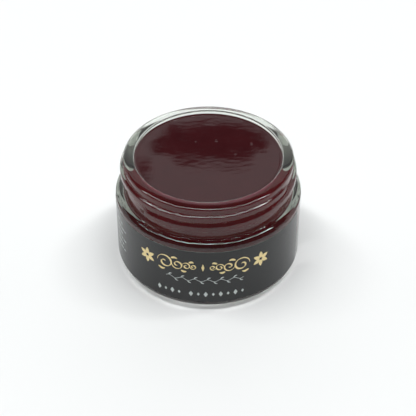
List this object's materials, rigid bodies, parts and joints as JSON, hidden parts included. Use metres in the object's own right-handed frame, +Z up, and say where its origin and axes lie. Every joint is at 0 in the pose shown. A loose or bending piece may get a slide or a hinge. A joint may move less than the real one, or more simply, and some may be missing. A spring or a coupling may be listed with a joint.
{
  "type": "shoe cream jar",
  "caption": "Low, wide, thick-walled glass jar with a single-start threaded neck, filled to just under the rim with shoe cream and wrapped in a film label; open, without its lid.",
  "frame": {"origin": "centre of the jar's base, on the surface it stands on", "axes": "+Z up along the jar's axis; the middle of the printed side faces -Y; the bare strip between the label's ends is on the +X side"},
  "size_m": [0.062, 0.062, 0.0407],
  "materials": {
    "glass": "clear moulded glass, polished",
    "cream": "dark mahogany wax cream, smooth and faintly glossy",
    "label_film": "black glossy printed film with gold and white print, light on the inside"
  },
  "bodies": {
    "root": {"glass_jar": "glass", "polish_cream": "cream", "wrap_label": "label_film"}
  },
  "joints": []
}
